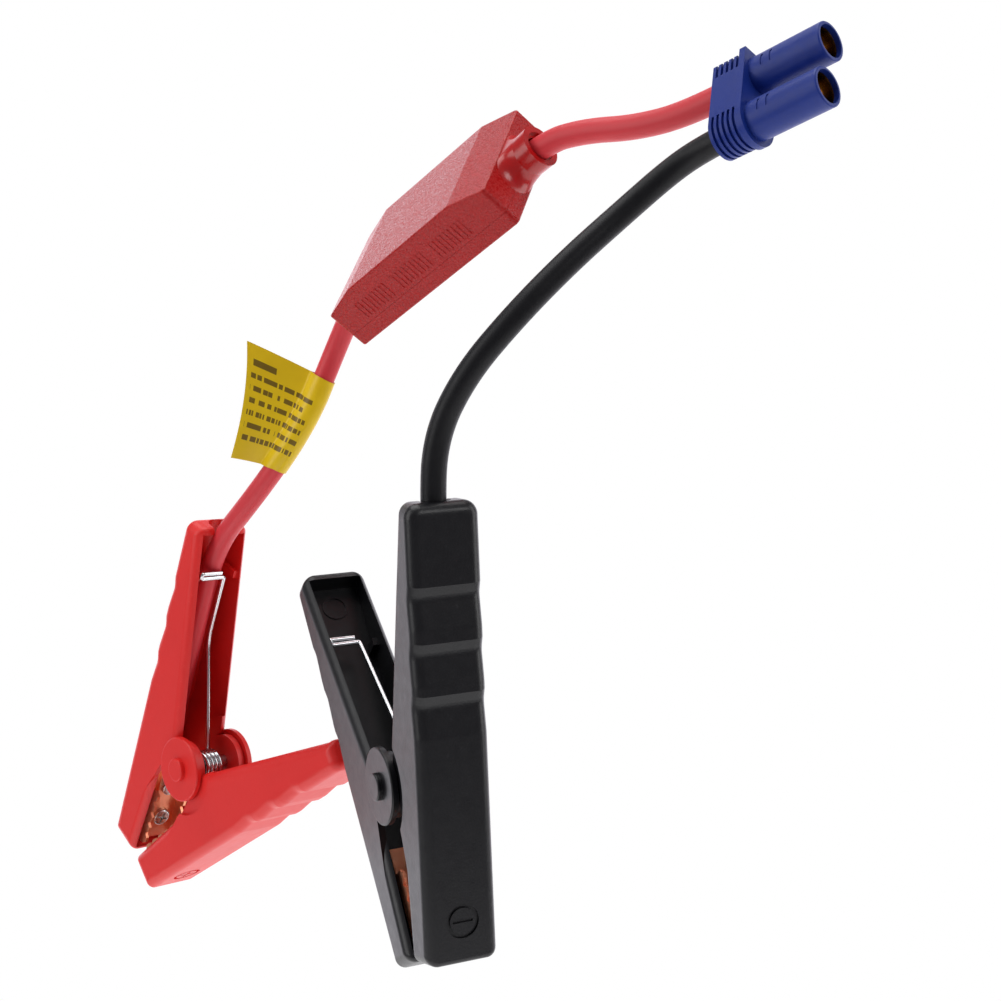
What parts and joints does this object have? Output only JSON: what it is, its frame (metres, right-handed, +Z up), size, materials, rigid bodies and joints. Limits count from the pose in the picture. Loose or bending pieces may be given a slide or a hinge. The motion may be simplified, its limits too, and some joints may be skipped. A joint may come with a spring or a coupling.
{
  "type": "jump starter clamp lead set",
  "caption": "Lead set for a car jump starter: polarised twin-barrel plug, black lead to a spring clamp, red lead through a protection box to a red spring clamp.",
  "frame": {"origin": "middle of the plug's front shoulder, between the two barrels, where the plug seats in the booster pack", "axes": "+Z up, with the clamps hanging below the plug; +X to the viewer's right and +Y away from the viewer when the set is seen with the plug at the upper right"},
  "size_m": [0.1761, 0.1722, 0.2014],
  "materials": {
    "black_silicone": "soft satin",
    "red_silicone": "soft satin",
    "blue_nylon": "satin moulded nylon",
    "gold": "gold plated",
    "red_plastic": "satin, grained on the box cover",
    "red_soft_plastic": "glossy flexible PVC",
    "black_plastic": "satin moulded",
    "board": "solder resist",
    "diode_case": "moulded epoxy",
    "yellow_label": "coated vinyl",
    "steel": "zinc plated",
    "spring_steel": "nickel plated wire",
    "copper": "copper plated, bright"
  },
  "bodies": {
    "lead_set": {"black_lead": "black_silicone", "red_lead_plug_side": "red_silicone", "red_lead_clamp_side": "red_silicone", "plug_housing": "blue_nylon", "positive_bullet": "gold", "negative_bullet": "gold", "box_base": "red_plastic", "box_cover": "red_plastic", "box_boot": "red_soft_plastic", "box_grommet": "red_soft_plastic", "circuit_board": "board", "board_terminals": "copper", "power_diodes": "diode_case", "lead_tag": "yellow_label", "black_cable_half": "black_plastic", "black_pivot_pin": "steel", "black_torsion_spring": "spring_steel", "black_cable_jaw": "copper", "black_cable_jaw_screws": "steel", "black_lead_lug": "copper", "red_cable_half": "red_plastic", "red_pivot_pin": "steel", "red_torsion_spring": "spring_steel", "red_cable_jaw": "copper", "red_cable_jaw_screws": "steel", "red_lead_lug": "copper"},
    "black_lever": {"black_free_half": "black_plastic", "black_free_jaw": "copper", "black_free_jaw_screws": "steel"},
    "red_lever": {"red_free_half": "red_plastic", "red_free_jaw": "copper", "red_free_jaw_screws": "steel"}
  },
  "joints": [
    {"name": "black_clamp_hinge", "type": "hinge", "parent": "lead_set", "child": "black_lever", "pos_m": [-0.0701, 0.039, -0.1423], "axis": [0.9115, 0.4038, 0.0787], "range_deg": [0, 40], "stiffness_Nm_per_rad": 0.5, "springref_deg": -57.3, "deforming": ["black_torsion_spring"]},
    {"name": "red_clamp_hinge", "type": "hinge", "parent": "lead_set", "child": "red_lever", "pos_m": [-0.1319, 0.1246, -0.1522], "axis": [-0.717, -0.6958, -0.0417], "range_deg": [0, 40], "stiffness_Nm_per_rad": 0.5, "springref_deg": -57.3, "deforming": ["red_torsion_spring"]}
  ]
}
